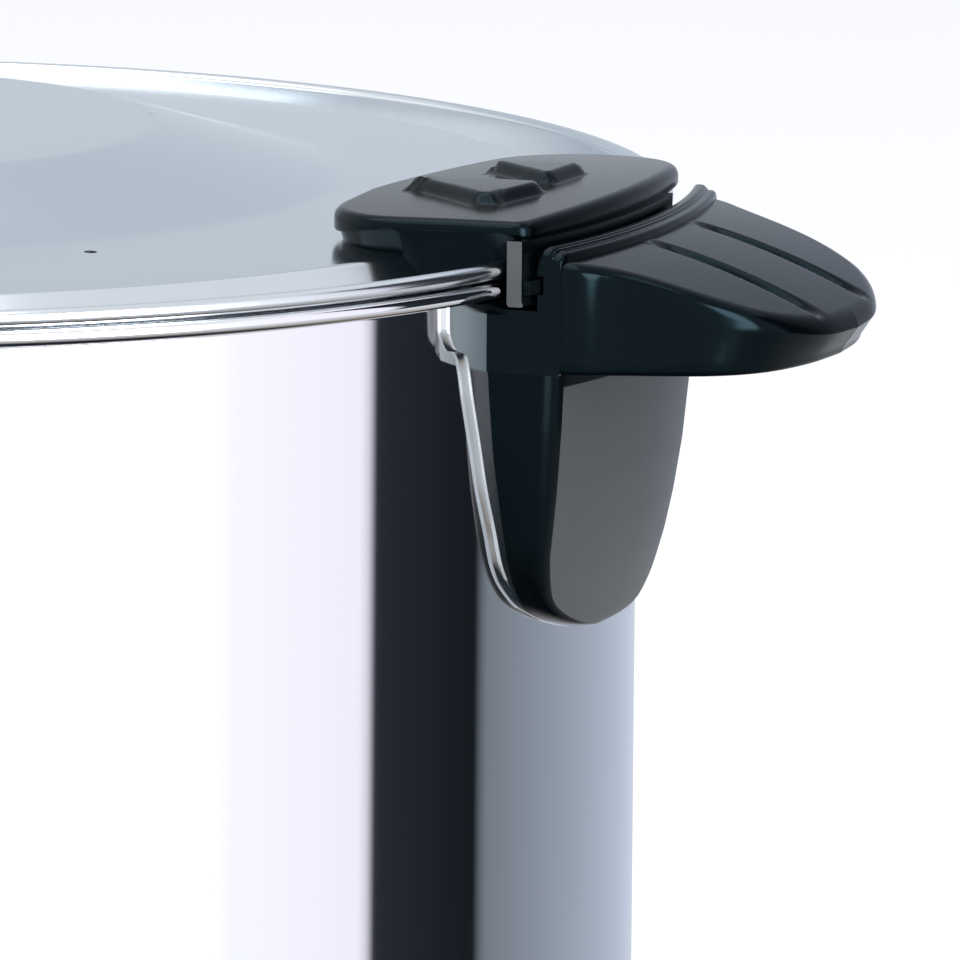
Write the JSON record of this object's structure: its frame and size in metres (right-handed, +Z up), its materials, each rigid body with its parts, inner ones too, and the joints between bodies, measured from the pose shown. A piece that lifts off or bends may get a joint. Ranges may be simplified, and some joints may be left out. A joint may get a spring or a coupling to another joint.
{
  "type": "coffee urn",
  "caption": "Percolating coffee urn: polished steel tank, twist-lock lid with moulded tabs, drooping side handles, lever faucet, pump tube and basket, black heater base.",
  "frame": {"origin": "centre of the bounding box's footprint, at floor level under the feet; the tank's axis stands 19.42 mm behind it", "axes": "+Z up along the tank's axis, +X towards the right handle, -Y towards the faucet"},
  "size_m": [0.357, 0.3346, 0.4432],
  "materials": {
    "stainless_polished": "mirror-polished stainless steel sheet",
    "stainless_satin": "satin stainless steel sheet",
    "stainless_fastener": "turned stainless steel",
    "black_moulding": "moulded phenolic black plastic, semi-gloss",
    "black_plastic": "moulded black plastic, fine texture",
    "black_rubber": "moulded rubber",
    "silicone": "translucent white food-grade silicone",
    "galvanised_steel": "galvanised sheet steel",
    "aluminium_cast": "cast and pressed aluminium",
    "brass_nickel": "nickel-plated brass",
    "ceramic": "glazed ceramic",
    "wire_red": "silicone wire insulation",
    "wire_blue": "silicone wire insulation",
    "lamp_amber": "translucent amber plastic"
  },
  "bodies": {
    "root": {"tank_shell": "stainless_polished", "tank_floor": "stainless_satin", "handle_right": "black_moulding", "handle_left": "black_moulding", "bracket_right": "stainless_satin", "bracket_left": "stainless_satin", "handle_washers": "stainless_fastener", "handle_screws": "stainless_fastener", "base_housing": "black_plastic", "base_gasket": "silicone", "base_plate": "galvanised_steel", "plate_screws": "stainless_fastener", "rubber_feet": "black_rubber", "foot_screws": "stainless_fastener", "foot_nuts": "stainless_fastener", "power_switch_body": "black_plastic", "lamp_bezel": "stainless_fastener", "indicator_lamp": "lamp_amber", "power_inlet": "black_plastic", "inlet_pins": "brass_nickel", "inlet_screws": "stainless_fastener", "brew_heater": "aluminium_cast", "heater_clamp": "galvanised_steel", "clamp_nut": "galvanised_steel", "heat_shield": "aluminium_cast", "shield_nut": "galvanised_steel", "warm_heater": "aluminium_cast", "thermostat": "ceramic", "thermal_cutoff": "ceramic", "terminal_block": "ceramic", "live_leads": "wire_red", "neutral_leads": "wire_blue", "lamp_leads": "wire_red", "faucet_body": "stainless_polished", "faucet_gasket_outer": "silicone", "faucet_gasket_inner": "silicone", "faucet_nut": "stainless_fastener", "faucet_bonnet": "black_moulding", "faucet_pivot_pin": "stainless_fastener", "faucet_spring": "stainless_fastener"},
    "tap_lever": {"tap_lever": "black_moulding"},
    "tap_stem": {"faucet_stem": "stainless_fastener", "faucet_seat_cup": "silicone"},
    "rocker": {"power_rocker": "black_moulding"},
    "percolator": {"pump_tube": "aluminium_cast", "pump_dome": "aluminium_cast", "basket_stop_ring": "aluminium_cast", "coffee_basket": "aluminium_cast"},
    "pump_valve": {"pump_washer": "aluminium_cast"},
    "spreader": {"basket_cover": "aluminium_cast"},
    "lid": {"lid_pan": "stainless_satin", "lid_rivets": "stainless_fastener", "lid_tab_right": "black_moulding", "lid_tab_left": "black_moulding"}
  },
  "joints": [
    {"name": "tap_lever_tilt", "type": "hinge", "parent": "root", "child": "tap_lever", "pos_m": [0, -0.15521, 0.141], "axis": [1, 0, 0], "range_deg": [0, 35], "stiffness_Nm_per_rad": 0.6, "springref_deg": -20.05},
    {"name": "tap_stem_lift", "type": "slide", "parent": "root", "child": "tap_stem", "axis": [0, 0, 1], "range_m": [0, 0.00481], "deforming": ["faucet_spring"]},
    {"name": "power_rocker_tilt", "type": "hinge", "parent": "root", "child": "rocker", "pos_m": [-0.019, -0.12408, 0.046], "axis": [-1, 0, 0], "range_deg": [0, 18]},
    {"name": "pump_lift_out", "type": "slide", "parent": "root", "child": "percolator", "axis": [0, 0, 1], "range_m": [0, 0.36]},
    {"name": "pump_washer_float", "type": "slide", "parent": "percolator", "child": "pump_valve", "axis": [0, 0, 1], "range_m": [0, 0.0025]},
    {"name": "spreader_lift_off", "type": "slide", "parent": "percolator", "child": "spreader", "axis": [0, 0, 1], "range_m": [0, 0.08]},
    {"name": "lid_turn", "type": "hinge", "parent": "spreader", "child": "lid", "pos_m": [0, 0.01942, 0.432], "axis": [0, 0, 1], "range_deg": [0, 12]}
  ],
  "couplings": [
    {"joint": "tap_stem_lift", "follows": "tap_lever_tilt", "m_per_rad": 0.0078765}
  ]
}
